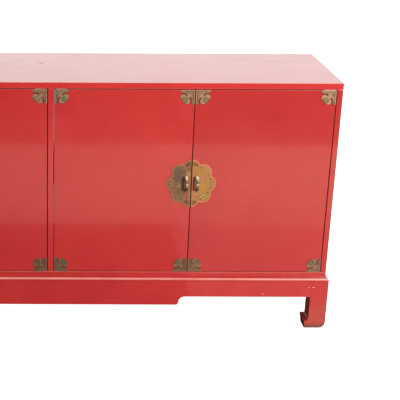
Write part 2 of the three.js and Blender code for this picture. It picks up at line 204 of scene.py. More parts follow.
def make_stage():
    scene = bpy.context.scene
    scene.view_settings.view_transform = "Standard"
    world = bpy.data.worlds.new("studio")
    scene.world = world
    world.use_nodes = True
    background = world.node_tree.nodes["Background"]
    background.inputs["Color"].default_value = (1.0, 0.97, 0.94, 1)
    background.inputs["Strength"].default_value = 0.40

    make_room()
    side = 2 * FLOOR_REACH
    camera_only(stage_plane("floor", (0, 0, 0), (side, side), WHITE, emission=1.0))
    reach = (-FLOOR_REACH, FLOOR_REACH)
    near = (PALE_FLOOR_NEAR, CASE_BACK)
    near_right = (PALE_FLOOR_NEAR, CASE_FRONT)
    floor_card("pale_floor", reach, reach, -2 * MM, (0.88, 0.83, 0.63))
    floor_card("far_room", reach, (PALE_FLOOR_FAR - 5, PALE_FLOOR_FAR), -1 * MM, (0.10, 0.07, 0.06))
    floor_card("near_floor", (-3, CARD_EDGE), near, -1 * MM, (0.15, 0.11, 0.09))
    floor_card("near_floor_right", (CARD_EDGE, 3), near_right, -1 * MM, (0.55, 0.50, 0.40))
    # A dark card under the case, unseen by the camera, stands in for the shade on the floor beneath it.
    under = (CASE_FRONT, CASE_BACK)
    floor_card("shade_under_case", (CARD_EDGE - 10 * MM, BASE_SIDE), under, -0.5 * MM, (0.10, 0.08, 0.07))

    over_edge = (0, CASE_FRONT - 20 * MM, CASE_TOP + 5 * MM + PALE_CARD_HEIGHT / 2)
    size = (PALE_CARD_WIDTH, PALE_CARD_HEIGHT)
    upright = (QUARTER, 0, 0)
    glossy_only(stage_plane("pale_card", over_edge, size, (0.9, 0.87, 0.85), emission=0.7, turn=upright))

    area_light("window_right", (3.0, -3.8, 2.7), (0.2, 0, 0.4), (2.6, 2.6), 225)
    glossy_only(area_light("sky_behind", (0, 3.2, 2.2), (0, 0, 0.8), (7.0, 2.2), 41))
    glossy_only(area_light("sky_in_front", (0.3, -3.0, 3.3), (0.3, -0.2, 0.3), (7.0, 4.0), 60))


# ---- Shader maths ----


def maths(operation, swapped=False):
    """A method that puts two numbers through one maths node."""
    def method(value, other=0.0):
        first, second = (other, value) if swapped else (value, other)
        return value.finish.node("ShaderNodeMath", {"operation": operation}, {0: first, 1: second})
    return method


class Value:
    """A number or colour that varies over a surface: one output of a shader node."""

    def __init__(self, finish, socket):
        self.finish = finish
        self.socket = socket

    __add__ = maths("ADD")
    __radd__ = maths("ADD", swapped=True)
    __sub__ = maths("SUBTRACT")
    __rsub__ = maths("SUBTRACT", swapped=True)
    __mul__ = maths("MULTIPLY")
    __pow__ = maths("POWER")
    over = maths("MAXIMUM")
    under = maths("MINIMUM")
    size = maths("ABSOLUTE")
    cosine = maths("COSINE")
    angle = maths("ARCTAN2")  # the value is the height, the other number is the distance across

    def wave(self, rate):
        """The cosine of the value times a rate."""
        return (self * rate).cosine()

    def part(self, index):
        """One coordinate of a vector."""
        return self.finish.node("ShaderNodeSeparateXYZ", {}, {0: self}, index)


class Finish:
    """A material, with the tree of nodes that makes it."""

    def __init__(self, name):
        self.material = bpy.data.materials.new(name)
        self.material.use_nodes = True
        self.tree = self.material.node_tree
        self.tree.nodes.clear()
        self.place = self.node("ShaderNodeTexCoord", {}, {}, "Object")

    def node(self, kind, settings, inputs, output=0):
        made = self.tree.nodes.new(kind)
        for key, value in settings.items():
            setattr(made, key, value)
        for key, value in inputs.items():
            if isinstance(value, Value):
                self.tree.links.new(value.socket, made.inputs[key])
            else:
                made.inputs[key].default_value = value
        return Value(self, made.outputs[output])

    def noise(self, scale, detail=4.0, roughness=0.55, distortion=0.0, place=None):
        inputs = {"Vector": place or self.place, "Scale": scale, "Detail": detail,
                  "Roughness": roughness, "Distortion": distortion}
        return self.node("ShaderNodeTexNoise", {}, inputs, "Fac")

    def cells(self, scale):
        inputs = {"Vector": self.place, "Scale": scale}
        return self.node("ShaderNodeTexVoronoi", {"feature": "F1"}, inputs, "Distance")

    def stretched(self, factors):
        return self.node("ShaderNodeMapping", {}, {"Vector": self.place, "Scale": factors})

    def step(self, value, low, high):
        """0 below low, 1 above high, smooth between."""
        inputs = {"Value": value, "From Min": low, "From Max": high, "To Min": 0.0, "To Max": 1.0}
        return self.node("ShaderNodeMapRange", {"interpolation_type": "SMOOTHSTEP"}, inputs)

    def mix(self, factor, first, second):
        """The colour first where factor is 0 and second where it is 1."""
        first, second = (c if isinstance(c, Value) else (*c, 1) for c in (first, second))
        inputs = {0: factor, 6: first, 7: second}
        return self.node("ShaderNodeMix", {"data_type": "RGBA", "clamp_factor": True}, inputs, 2)

    def distance(self, point, factors=(1, 1, 1)):
        """How far a place is from a point, each axis weighed by its factor."""
        offset = self.node("ShaderNodeVectorMath", {"operation": "SUBTRACT"}, {0: self.place, 1: point})
        weighed = self.node("ShaderNodeVectorMath", {"operation": "MULTIPLY"}, {0: offset, 1: factors})
        return self.node("ShaderNodeVectorMath", {"operation": "LENGTH"}, {0: weighed}, 1)

    def flat_distance(self, across, up, spot):
        """How far (across, up) is from a spot."""
        aside = across - spot[0]
        above = up - spot[1]
        return (aside * aside + above * above) ** 0.5

    def spot(self, distance, radius, blur):
        """1 within a radius, 0 outside it and its blur."""
        return 1 - self.step(distance, radius - blur / 2, radius + blur / 2)

    def most(self, values):
        """The largest of several values."""
        result = values[0]
        for value in values[1:]:
            result = result.over(value)
        return result

    def bump(self, height, depth, strength):
        return self.node("ShaderNodeBump", {}, {"Height": height, "Distance": depth, "Strength": strength})

    def surface(self, inputs):
        """Ends the tree in one shader, and gives the material."""
        shader = self.node("ShaderNodeBsdfPrincipled", {}, inputs)
        end = self.tree.nodes.new("ShaderNodeOutputMaterial")
        self.tree.links.new(shader.socket, end.inputs["Surface"])
        return self.material


# ---- Finishes ----

LACQUER_RED = (0.585, 0.030, 0.029)
LACQUER_BRIGHT = (0.64, 0.038, 0.036)
LACQUER_DARK = (0.45, 0.021, 0.019)
LACQUER_DULL = (0.52, 0.080, 0.060)
# Pink of the real chips, and of the painted highlight of the glint on the top.
CHIP_AND_GLINT_PINK = (0.90, 0.36, 0.28)
# Pale rubbed wear with a painted highlight on it, along the front arrises.
PALE_WEAR_AND_HIGHLIGHT = (0.90, 0.33, 0.27)
# Brown of the real scuffs, and of the painted shade round the corner mounts.
DIRT_AND_SHADE_BROWN = (0.13, 0.035, 0.018)
# Painted light on the sill, where it shows under the doors.
PALE_SILL = (0.80, 0.20, 0.15)
# Painted shade on the outer front edges of the sides and legs.
PAINTED_EDGE_SHADE = (0.25, 0.075, 0.066)
# Painted shade on the edges of the doors, in the gaps round them.
PAINTED_GAP_SHADE = (0.10, 0.010, 0.008)
FOOT_BROWN = (0.17, 0.075, 0.055)
DULL_BELOW = 0.10  # the legs are faded below this height
INSIDE_RED = (0.24, 0.020, 0.016)
INSIDE_STREAK = (0.15, 0.012, 0.010)
PLY_PALE = (0.43, 0.27, 0.15)
PLY_GRAIN = (0.27, 0.15, 0.075)
PLY_FINE = (0.18, 0.10, 0.05)
STEEL_GREY = (0.55, 0.53, 0.49)
PLASTIC_BROWN = (0.10, 0.065, 0.04)


def edge_line(axis, point):
    """The line through a point that runs along an axis, as (point, weights)."""
    return tuple(point), tuple(0 if name == axis else 1 for name in "xyz")


def tinted(color, tone):
    return tuple(channel * tone for channel in color)


def red_lacquer(name, tone=1.0, edge_wear_and_light=(), chips_and_glints=(), scuffs=(), painted_shade=None, faces=None, dull=0.0, foot=False):
    """Glossy red over wood.

    edge_wear_and_light lists edges painted in bands, as (line, reach, strength, shade): the pale
    bands are rubbed through, with a painted highlight on them, the darker ones are painted shade,
    and the pale sill band is painted light in the gap under the doors. chips_and_glints and scuffs
    are single marks, as (point, size); a glint is a painted highlight. painted_shade makes a mask of
    painted shade from a finish. faces gives the depths of a board's two faces, and its edges between
    them are painted dark, as painted shade in the gaps. dull is how far it has faded, and foot
    darkens it at the floor.
    """
    finish = Finish(name)
    mottle = finish.noise(3.2, 5, 0.6, 0.6)
    cloud = finish.noise(9.0, 4, 0.6)
    speck = finish.cells(170)
    ragged = finish.noise(95, 5, 0.7)
    patchy = finish.step(finish.noise(7, 3, 0.6), 0.30, 0.62)
    red, bright, dark = (tinted(color, tone) for color in (LACQUER_RED, LACQUER_BRIGHT, LACQUER_DARK))
    color = finish.mix(finish.step(mottle, 0.42, 0.72), red, bright)
    color = finish.mix(finish.step(cloud, 0.52, 0.78) * 0.30, color, dark)
    color = finish.mix(finish.spot(speck, 0.035, 0.03) * 0.25, color, dark)
    if dull:
        low_down = finish.spot(finish.place.part(2), DULL_BELOW, 0.08)
        color = finish.mix(finish.step(cloud, 0.25, 0.60) * low_down * dull, color, LACQUER_DULL)
    roughness = 0.13 + finish.step(finish.noise(5.5, 6, 0.62), 0.35, 0.8) * 0.14
    coat = 0.8
    relief = finish.noise(42, 3) * 0.6 + finish.noise(6.0, 2)

    # Bands along edges: rubbed wear with a painted highlight, painted shade, and painted light on the sill.
    for (point, weights), reach, strength, shade in edge_wear_and_light:
        near = finish.distance(point, weights) + ragged * 0.30 * reach
        painted_band = finish.spot(near, 0.95 * reach, 0.5 * reach) * (0.62 + patchy * 0.38)
        color = finish.mix(painted_band * strength, color, shade)
    # Painted shade from a mask, such as round the corner mounts and in their slots.
    if painted_shade:
        color = finish.mix(painted_shade(finish), color, DIRT_AND_SHADE_BROWN)
    # The edges between a board's two faces are painted dark and lose their coat: painted shade in the gaps
    # round the doors.
    if faces:
        front, back = faces
        depth = finish.place.part(1)
        behind = finish.step(depth, front + 1.2 * MM, front + 2.4 * MM)
        behind = behind - finish.step(depth, back - 2.4 * MM, back - 1.2 * MM)
        color = finish.mix(behind * 0.85, color, PAINTED_GAP_SHADE)
        roughness = roughness.over(behind * 0.6)
        coat = coat - behind * 0.8
    if foot:
        height = finish.place.part(2) + ragged * 6 * MM
        color = finish.mix(finish.spot(height, 20 * MM, 30 * MM) * 0.9, color, FOOT_BROWN)
    for marks, shade in ((scuffs, DIRT_AND_SHADE_BROWN), (chips_and_glints, CHIP_AND_GLINT_PINK)):
        for point, size in marks:
            near = finish.distance(point, tuple(1 / reach for reach in size)) + ragged * 0.9
            mark = finish.spot(near, 1.2, 0.25) * (0.35 if shade is DIRT_AND_SHADE_BROWN else 1.0)
            color = finish.mix(mark, color, shade)
            roughness = roughness.over(mark * 0.6)
            relief = relief - mark
            coat = coat - mark * 0.8
    return finish.surface({
        "Base Color": color,
        "Roughness": roughness,
        "Coat Weight": coat,
        "Coat Roughness": 0.06,
        "Coat IOR": 1.5,
        "IOR": 1.45,
        "Normal": finish.bump(relief, 0.6 * MM, 0.35),
    })


def inside_lacquer():
    finish = Finish("inside_lacquer")
    streak = finish.noise(6, 5, 0.6, 0.4, finish.stretched((1, 9, 9)))
    color = finish.mix(finish.step(streak, 0.35, 0.7), INSIDE_RED, INSIDE_STREAK)
    return finish.surface({
        "Base Color": color,
        "Roughness": 0.38 + streak * 0.2,
        "Normal": finish.bump(streak, 0.4 * MM, 0.5),
    })


def back_board():
    finish = Finish("back_board")
    grain = finish.noise(5, 8, 0.6, 1.2, finish.stretched((9, 1, 1.2)))
    fine = finish.noise(60, 5, 0.6, 0.2, finish.stretched((8, 1, 0.25)))
    color = finish.mix(finish.step(grain, 0.35, 0.7), PLY_PALE, PLY_GRAIN)
    color = finish.mix(finish.step(fine, 0.5, 0.75) * 0.5, color, PLY_FINE)
    return finish.surface({
        "Base Color": color,
        "Roughness": 0.62 + fine * 0.2,
        "Normal": finish.bump(fine, 0.5 * MM, 0.6),
    })


LATTICE_RATES = (403, 524)  # of the lattice across and up, in radians per metre
STROKE_RATE = 66  # dark gaps between the raised strokes in a whole turn
DOTS = tuple((x * MM, z * MM) for x, z in ((10, 45), (18, 45), (14, 37), (14, 51)))


def on_mount(across, up):
    """A spot on a mount from its corner, given as fractions of its arms."""
    return (across * MOUNT_SPAN, up * MOUNT_SPAN)


MOUNT_HEAD = on_mount(0.70, 0.70)  # middle of the round head
SLOT_SPOTS = ((0.55, 0.38), (0.66, 0.27), (0.82, 0.24))
HEAD_LOBE = (0.74, 0.54)  # middle of one of the two swellings of the head

BRASS_GOLD = (0.67, 0.325, 0.105)
BRASS_OLIVE = (0.42, 0.32, 0.18)
BRASS_DULL = (0.22, 0.155, 0.092)
COPPER_PINK = (0.62, 0.27, 0.19)
VERDIGRIS = (0.22, 0.26, 0.13)
WORN_COPPER = (0.72, 0.40, 0.28)
# Dark of the engraving on the mounts, and of the painted shade on the pulls.
ENGRAVED_AND_SHADE_DARK = (0.060, 0.030, 0.014)
# Painted shade over the waist of a pull, dimming the lamp's reflection there.
PULL_SHADE_ABOVE = (0.24, 0.165, 0.085)  # over the waist
PULL_BELOW = (0.52, 0.36, 0.24)
# A painted highlight high on the bow of a pull.
PULL_HIGHLIGHT = (0.92, 0.74, 0.48)
# Painted shade at the lower end of a pull.
PULL_END_SHADE = (0.15, 0.085, 0.038)
PULL_SPECK = (0.36, 0.25, 0.13)


def from_corner(finish, low, high):
    """Distances from the nearer side edge and from the nearer end of an upright board."""
    x, z = finish.place.part(0), finish.place.part(2)
    return (x - low.x).under(high.x - x), (z - low.z).under(high.z - z)


def mount_painted_shade(door):
    """The mask of painted shade on a door round its corner mounts and in their slots."""
    low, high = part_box(f"{door}_door")

    def mask(finish):
        across, up = from_corner(finish, low, high)
        across, up = across - MOUNT_INSET, up - MOUNT_INSET

        def disc_at(spot, radius, blur):
            both = [finish.spot(finish.flat_distance(across, up, on_mount(*ends)), radius, blur)
                    for ends in (spot, spot[::-1])]
            return finish.most(both)

        # Painted shade in the slots, and a painted shadow round the head.
        slots = finish.most([disc_at(spot, 5 * MM, 4 * MM) for spot in SLOT_SPOTS])
        return (slots * 0.8).over(disc_at(HEAD_LOBE, 0.262 * MOUNT_SPAN, 2.0 * MM) * 0.55)

    return mask


def mount_brass(door, tone):
    """Olive brass with copper showing at the edges, green in the hollows, engraved curls."""
    low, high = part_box(f"{door}_door")
    finish = Finish(f"{door}_mount_brass")
    across, up = from_corner(finish, low, high)
    patch = finish.noise(75, 6, 0.65, 0.8)
    fine = finish.noise(420, 4, 0.6)
    away = finish.flat_distance(across, up, MOUNT_HEAD)
    arm = across.under(up)
    olive, dull, copper, green, edge = (
        tinted(color, tone)
        for color in (BRASS_OLIVE, BRASS_DULL, COPPER_PINK, VERDIGRIS, WORN_COPPER)
    )
    color = finish.mix(finish.step(patch + fine * 0.15, 0.45, 0.72), olive, dull)
    coppery = finish.step(finish.noise(110, 5, 0.6, 1.0), 0.42, 0.60)
    color = finish.mix(coppery * 0.55, color, tinted(copper, 0.8))
    greenish = finish.step(finish.noise(48, 4), 0.40, 0.56) * finish.spot(away, 9 * MM, 8 * MM)
    color = finish.mix(greenish * 0.75, color, green)
    rim = finish.step(away, 8.5 * MM, 11 * MM) * finish.step(arm, 12 * MM, 15 * MM)
    color = finish.mix((rim * 0.5).over(finish.spot(arm, 2.4 * MM, 2.0 * MM) * 0.8), color, edge)
    middle = (low.z + high.z) / 2
    color = finish.mix(finish.spot(finish.place.part(2), middle, 0.1) * 0.3, color, dull)
    curl = finish.spot((away - 8.0 * MM).size(), 0.8 * MM, 0.7 * MM)
    line = finish.spot((arm - 5.2 * MM).size(), 0.6 * MM, 0.6 * MM) * finish.step(away, 12 * MM, 14 * MM)
    engraved = finish.most([curl, line])
    color = finish.mix(engraved * 0.75, color, ENGRAVED_AND_SHADE_DARK)
    return finish.surface({
        "Base Color": color,
        "Metallic": 1 - engraved * 0.5,
        "Roughness": 0.40 + patch * 0.16 + engraved * 0.2,
        "Normal": finish.bump(patch * 0.5 + fine * 0.3 - engraved * 1.2, 0.6 * MM, 0.6),
    })


def lobed_brass(name, centre, side, tones):
    """The engraved brass of one half of the lobed plate.

    side is +1 where the half runs towards +X from the plate's centre. tones gives its colours and
    where the painted shadow lies beside the pull, from the middle line.
    """
    finish = Finish(name)
    across = (finish.place.part(0) - centre[0]) * side
    up = finish.place.part(2) - centre[1]
    rise = up.size()
    radius = (across * across + up * up) ** 0.5
    turn = up.angle(across)
    patch = finish.noise(48, 6, 0.65, 0.8)
    fine = finish.noise(380, 4, 0.6)
    near = finish.flat_distance

    color = finish.mix(finish.step(patch + fine * 0.1, 0.42, 0.70), tones["field"], tones["dull"])
    color = finish.mix(finish.step(radius, 52 * MM, 56 * MM) * 0.7, color, tones["lobes"])
    for spot, size, tint in tones["patches"]:
        here = finish.spot(near(across, up, spot) + patch * 0.4 * size, 1.1 * size, 0.7 * size)
        color = finish.mix(here * 0.85, color, tint)
    gap = finish.spot(across + patch * 3 * MM, 7.5 * MM, 3 * MM) * finish.spot(up, 34 * MM, 10 * MM)
    color = finish.mix(gap * 0.85, color, tones["gap"])

    reach = lobe_centre()
    lobe_radius = PLATE_RADIUS - reach
    lobes = [near(across, rise, around(reach, LOBE_TURN * i)) - lobe_radius for i in range(3)]
    edge = lobes[0].under(lobes[1]).under(lobes[2])
    color = finish.mix(finish.step(edge + patch * 2 * MM, -5.4 * MM, -2.6 * MM) * 0.8, color, tones["rim"])

    rosette = near(across, up, (ROSETTE_ACROSS, -ROSETTE_RISE))
    color = finish.mix(finish.spot(rosette, 9 * MM, 2 * MM) * 0.8, color, tones["rim"])
    marks = [
        finish.spot((edge + GROOVE_INSET).size(), 0.6 * MM, 0.8 * MM) * 0.45,
        # A painted shadow under the lower rosette, as an arc in the engraving's dark.
        finish.spot((rosette - 10 * MM).size(), 0.9 * MM, 0.9 * MM)
        * finish.spot(up, -ROSETTE_RISE, 6 * MM) * 0.8,
        finish.spot(rosette, 2.6 * MM, 1.4 * MM),
    ]
    for i in range(2):
        for sign in (-1, 1):
            hole = around(PIT_RING, LOBE_TURN * (i + 0.5) + sign * PIT_TURN)
            marks.append(finish.spot(near(across, rise, hole), 2.9 * MM, 1.4 * MM))
    marks += [finish.spot(near(across, up, dot), 2.0 * MM, 1.2 * MM) * 0.8 for dot in DOTS]
    plain_lobe = finish.step(turn.wave(LOBES / 2), 0.0, 0.4)
    band = finish.step(radius, 56 * MM, 59 * MM) - finish.step(radius, 71 * MM, 73 * MM)
    marks.append(finish.step(0 - turn.wave(STROKE_RATE), 0.0, 0.6) * plain_lobe * band * 0.8)
    lattice = (across - 3 * MM).wave(LATTICE_RATES[0]) * (up + 2 * MM).wave(LATTICE_RATES[1])
    scales = finish.spot(near(across, rise, around(60 * MM, LOBE_TURN)), 14 * MM, 2 * MM)
    marks.append(finish.step(lattice, 0.20, 0.55) * scales * finish.spot(up, -20 * MM, 10 * MM))
    # Painted shade along the middle line, where the halves meet at the door gap.
    marks.append(finish.spot(across, 1.9 * MM, 0.6 * MM))
    dark = finish.most(marks)
    color = finish.mix(dark * 0.85, color, tones["engraved"])

    # A painted shadow on the plate beside the pull.
    low, high = tones["shade_at"]
    pull_shadow = finish.step(across, low - 1 * MM, low + 1 * MM)
    pull_shadow = pull_shadow - finish.step(across, high - 1 * MM, high + 1 * MM)
    pull_shadow = pull_shadow * finish.spot(rise, 24 * MM, 4 * MM)
    color = finish.mix(pull_shadow * 0.9, color, tones["shade"])
    return finish.surface({
        "Base Color": color,
        "Metallic": 1 - dark.over(pull_shadow) * 0.6,
        "Roughness": 0.42 + patch * 0.14 + dark * 0.2,
        "Normal": finish.bump(patch * 0.5 + fine * 0.25 - dark * 1.2, 0.6 * MM, 0.6),
    })


def pull_brass(name, centre, width):
    """A painted highlight in a band above a pull's waist, painted shade round it, at the waist, the lower end
    and the left side, duller brass below.
    """
    finish = Finish(name)
    across = finish.place.part(0) - centre[0]
    up = finish.place.part(2) - centre[1]
    patch = finish.noise(160, 5, 0.6)
    # A painted highlight in a band high on the bow.
    painted_band = finish.step(up, 16 * MM, 20 * MM) - finish.step(up, 24.5 * MM, 26.5 * MM)
    # Painted shade over the waist, the pull's own duller brass below it.
    color = finish.mix(finish.step(up, 9 * MM, 12 * MM), PULL_BELOW, PULL_SHADE_ABOVE)
    color = finish.mix(painted_band, color, PULL_HIGHLIGHT)
    # Painted shade at the lower end.
    color = finish.mix(finish.spot(up, -9 * MM, 14 * MM) * 0.85, color, PULL_END_SHADE)
    color = finish.mix(finish.step(patch, 0.5, 0.75) * 0.25, color, PULL_SPECK)
    # Painted shade at the waist and down the left side.
    waist = finish.spot((up - WAIST_RISE).size(), 2.8 * MM, 2.0 * MM)
    left_side_shade = finish.spot(across, 3.6 * MM - width / 2, 1.6 * MM)
    dark = waist.over(left_side_shade)
    color = finish.mix(dark * 0.9, color, ENGRAVED_AND_SHADE_DARK)
    return finish.surface({
        "Base Color": color,
        "Metallic": 1 - (dark * 0.5).over(painted_band * 0.7),
        "Roughness": 0.44 + patch * 0.14 + dark * 0.2,
        "Normal": finish.bump(patch, 0.3 * MM, 0.4),
    })


def plated_steel():
    finish = Finish("plated_steel")
    brushed = finish.noise(240, 4, 0.6, 0.0, finish.stretched((1, 0.2, 1)))
    shade = finish.mix(finish.step(finish.noise(70, 4), 0.4, 0.7), STEEL_GREY, tinted(STEEL_GREY, 0.72))
    return finish.surface({
        "Base Color": shade,
        "Metallic": 1.0,
        "Roughness": 0.28 + brushed * 0.18,
        "Normal": finish.bump(brushed, 0.2 * MM, 0.4),
    })


def brown_plastic():
    finish = Finish("brown_plastic")
    grit = finish.noise(600, 3)
    shade = finish.mix(grit, PLASTIC_BROWN, tinted(PLASTIC_BROWN, 1.25))
    return finish.surface({
        "Base Color": shade,
        "Roughness": 0.48 + grit * 0.12,
        "Normal": finish.bump(grit, 0.2 * MM, 0.4),
    })


# ---- Modelling ----


def only(piece):
    """Selects one piece alone and makes it the active one."""
    bpy.ops.object.select_all(action="DESELECT")
    piece.select_set(True)
    bpy.context.view_layer.objects.active = piece


@contextlib.contextmanager
def editing(piece, mode="VERT"):
    """Edit mode on one piece, with nothing selected in it."""
    only(piece)
    bpy.ops.object.mode_set(mode="EDIT")
    bpy.ops.mesh.select_mode(type=mode)
    bpy.ops.mesh.select_all(action="DESELECT")
    try:
        yield piece
    finally:
        bpy.ops.object.mode_set(mode="OBJECT")


def pick(piece, kind, test):
    """Selects, in edit mode, the faces or edges or vertices that pass the test."""
    shape = bmesh.from_edit_mesh(piece.data)
    for element in getattr(shape, kind):
        if test(element):
            element.select_set(True)
    bmesh.update_edit_mesh(piece.data)


def settle(piece):
    """Puts the piece's place into its mesh."""
    only(piece)
    bpy.ops.object.transform_apply(location=True, rotation=True, scale=True)
    return piece


def modify(piece, kind, **settings):
    """Adds a modifier and applies it."""
    only(piece)
    modifier = piece.modifiers.new(kind.lower(), kind)
    for key, value in settings.items():
        setattr(modifier, key, value)
    bpy.ops.object.modifier_apply(modifier=modifier.name)
    return piece


def block(low, high):
    low, high = Vector(low), Vector(high)
    bpy.ops.mesh.primitive_cube_add(size=1, location=(low + high) / 2)
    piece = bpy.context.object
    piece.scale = high - low
    return settle(piece)


def disc(centre, radius, y_low, y_high, sides=32):
    """A short cylinder whose axis runs front to back."""
    bpy.ops.mesh.primitive_cylinder_add(
        vertices=sides, radius=radius, depth=y_high - y_low,
        location=(centre[0], (y_low + y_high) / 2, centre[1]), rotation=(QUARTER, 0, 0),
    )
    return settle(bpy.context.object)


def ring(centre, radius, thickness, y, sides=40, turns=8):
    """A thin hoop lying in a front face."""
    bpy.ops.mesh.primitive_torus_add(
        major_radius=radius, minor_radius=thickness, major_segments=sides, minor_segments=turns,
        location=(centre[0], y, centre[1]), rotation=(QUARTER, 0, 0),
    )
    return settle(bpy.context.object)


def combine(piece, others, operation):
    """Joins others to a piece, or cuts them from it, and uses them up."""
    for other in others:
        modify(piece, "BOOLEAN", operation=operation, object=other, solver="EXACT")
        bpy.data.objects.remove(other)
    return piece


def gather(pieces, name):
    """Makes one object of several, as separate shells."""
    only(pieces[0])
    for piece in pieces[1:]:
        piece.select_set(True)
    bpy.ops.object.join()
    pieces[0].name = name
    return pieces[0]


def copy_of(master, name, matrix, mirrored=False):
    """A copy with its own mesh, put in place. A mirrored copy is mirrored left to right first."""
    piece = master.copy()
    piece.data = master.data.copy()
    piece.name = name
    bpy.context.scene.collection.objects.link(piece)
    if mirrored:
        piece.data.transform(Matrix.Diagonal((-1, 1, 1, 1)))
        piece.data.flip_normals()
    piece.data.transform(matrix)
    return piece


def cut_away(point, normal):
    """Cuts a mesh, in edit mode, along a plane: the side that the normal points to goes."""
    bpy.ops.mesh.select_all(action="SELECT")
    bpy.ops.mesh.bisect(plane_co=point, plane_no=normal, use_fill=True, clear_outer=True)


def soften(piece, width, segments=2):
    return modify(piece, "BEVEL", width=width, segments=segments, limit_method="ANGLE",
                  angle_limit=math.radians(30))


def smooth(piece, angle=35):
    only(piece)
    bpy.ops.object.shade_smooth_by_angle(angle=math.radians(angle))
    return piece


def finish_piece(piece, material, body, replaced=()):
    piece.data.materials.clear()
    piece.data.materials.append(material)
    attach(piece, body)
    if replaced:
        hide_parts(*replaced)


def nail(centre, radius, y_face, height):
    """A domed nail head on a front face."""
    bpy.ops.mesh.primitive_uv_sphere_add(
        segments=16, ring_count=8, radius=radius, location=(centre[0], y_face, centre[1]),
        rotation=(QUARTER, 0, 0),
    )
    head = bpy.context.object
    head.scale = (1, 1, height / radius)
    settle(head)
    with editing(head):
        cut_away((0, y_face + 0.2 * MM, 0), (0, 1, 0))
    return head


# ---- CAD nodes that stay: a small arris and a finish ----


def keep(node, material, arris=ARRIS, segments=3):
    piece = frame["nodes"][node]
    weld = piece.modifiers.new("weld", "WELD")
    weld.merge_threshold = WELD
    bevel = piece.modifiers.new("arris", "BEVEL")
    bevel.width = arris
    bevel.segments = segments
    bevel.limit_method = "ANGLE"
    bevel.angle_limit = math.radians(40)
    if piece.data.materials:
        for slot in piece.material_slots:
            slot.material = material
    else:
        piece.data.materials.append(material)


# ---- Brass: corner mounts ----

MOUNT_TONES = {"left_outer": 0.95, "left_inner": 0.92, "right_inner": 0.93, "right_outer": 1.01}


def mount_relief_master():
    """The raised work on a mount: its corner is at the origin, its arms run along +X and +Z."""
    heel = on_mount(0.17, 0.17)
    hoops = [ring(MOUNT_HEAD, 6.0 * MM, 0.6 * MM, 0.1 * MM, 36, 8), ring(heel, 3.2 * MM, 0.45 * MM, 0.1 * MM)]
    studs = [nail(at, size, 0.15 * MM, rise) for at, size, rise in (
        (MOUNT_HEAD, 2.4 * MM, 1.0 * MM),
        (heel, 1.8 * MM, 0.9 * MM),
        (on_mount(0.78, 0.09), 1.3 * MM, 0.7 * MM),
        (on_mount(0.09, 0.78), 1.3 * MM, 0.7 * MM),
    )]
    return gather([smooth(piece, 60) for piece in (*hoops, *studs)], "mount_relief_master")


def make_corner_mounts():
    master = mount_relief_master()
    for door, tone in MOUNT_TONES.items():
        material = mount_brass(door, tone)
        for height in ("top", "bottom"):
            for hand in ("left", "right"):
                node = f"{door}_{height}_{hand}_corner"
                keep(node, material, SHEET_ARRIS, 2)
                low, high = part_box(node)
                corner_x = low.x if hand == "left" else high.x
                corner_z = low.z if height == "bottom" else high.z
                quarters = {("bottom", "left"): 0, ("top", "left"): 1,
                            ("top", "right"): 2, ("bottom", "right"): 3}[height, hand]
                place = Matrix.Translation((corner_x, low.y, corner_z))
                turn = Matrix.Rotation(QUARTER * quarters, 4, "Y")
                piece = copy_of(master, f"{door}_{height}_{hand}_mount_relief", place @ turn)
                finish_piece(piece, material, f"{door}_door_body")
    bpy.data.objects.remove(master)


# ---- Brass: the lobed escutcheons ----


def lobe_centre():
    half = LOBE_TURN / 2
    return (PLATE_RADIUS ** 2 - NOTCH_RADIUS ** 2) / (2 * (PLATE_RADIUS - NOTCH_RADIUS * math.cos(half)))


def around(radius, turn):
    return (radius * math.cos(turn), radius * math.sin(turn))


def escutcheon_half_master(thickness, gap_half):
    """The half on +X of a plate centred on the origin, with its front at y = 0."""
    reach = lobe_centre()
    lobe_radius = PLATE_RADIUS - reach
    plate = disc((0, 0), reach + 6 * MM, 0, thickness, 64)
    lobes = [disc(around(reach, LOBE_TURN * i), lobe_radius, 0, thickness, 48) for i in range(-2, 3)]
    combine(plate, lobes, "UNION")
    with editing(plate):
        cut_away((gap_half, 0, 0), (-1, 0, 0))
        bpy.ops.mesh.select_all(action="SELECT")
        bpy.ops.mesh.remove_doubles(threshold=WELD)
        bpy.ops.mesh.dissolve_limited(angle_limit=math.radians(1))
    with editing(plate, "FACE"):
        pick(plate, "faces", lambda face: face.normal.y < -0.9)
        bpy.ops.mesh.region_to_loop()
        bpy.ops.mesh.bevel(offset=SHEET_ARRIS, segments=2)
    return plate


def lobed_groove(offset, width):
    """Cutters for a groove that keeps one distance from the lobed edge, for the lobes on +X."""
    reach = lobe_centre()
    radius = PLATE_RADIUS - reach - offset
    arcs = []
    for i in range(-2, 3):
        turn = LOBE_TURN * i
        arc = ring(around(reach, turn), radius, width, 0.0, 40, 6)
        with editing(arc):
            for sign in (-1, 1):
                edge = turn + sign * LOBE_TURN / 2
                cut_away((0, 0, 0), (-sign * math.sin(edge), 0, sign * math.cos(edge)))
        arcs.append(arc)
    return arcs


def stroke(inner, outer, turn, width, height):
    """A raised stroke that points at the middle of the plate."""
    bar = block((inner, -height, -width / 2), (outer, 0.2 * MM, width / 2))
    soften(bar, 0.35 * width)
    bar.data.transform(Matrix.Rotation(-turn, 4, "Y"))
    return bar


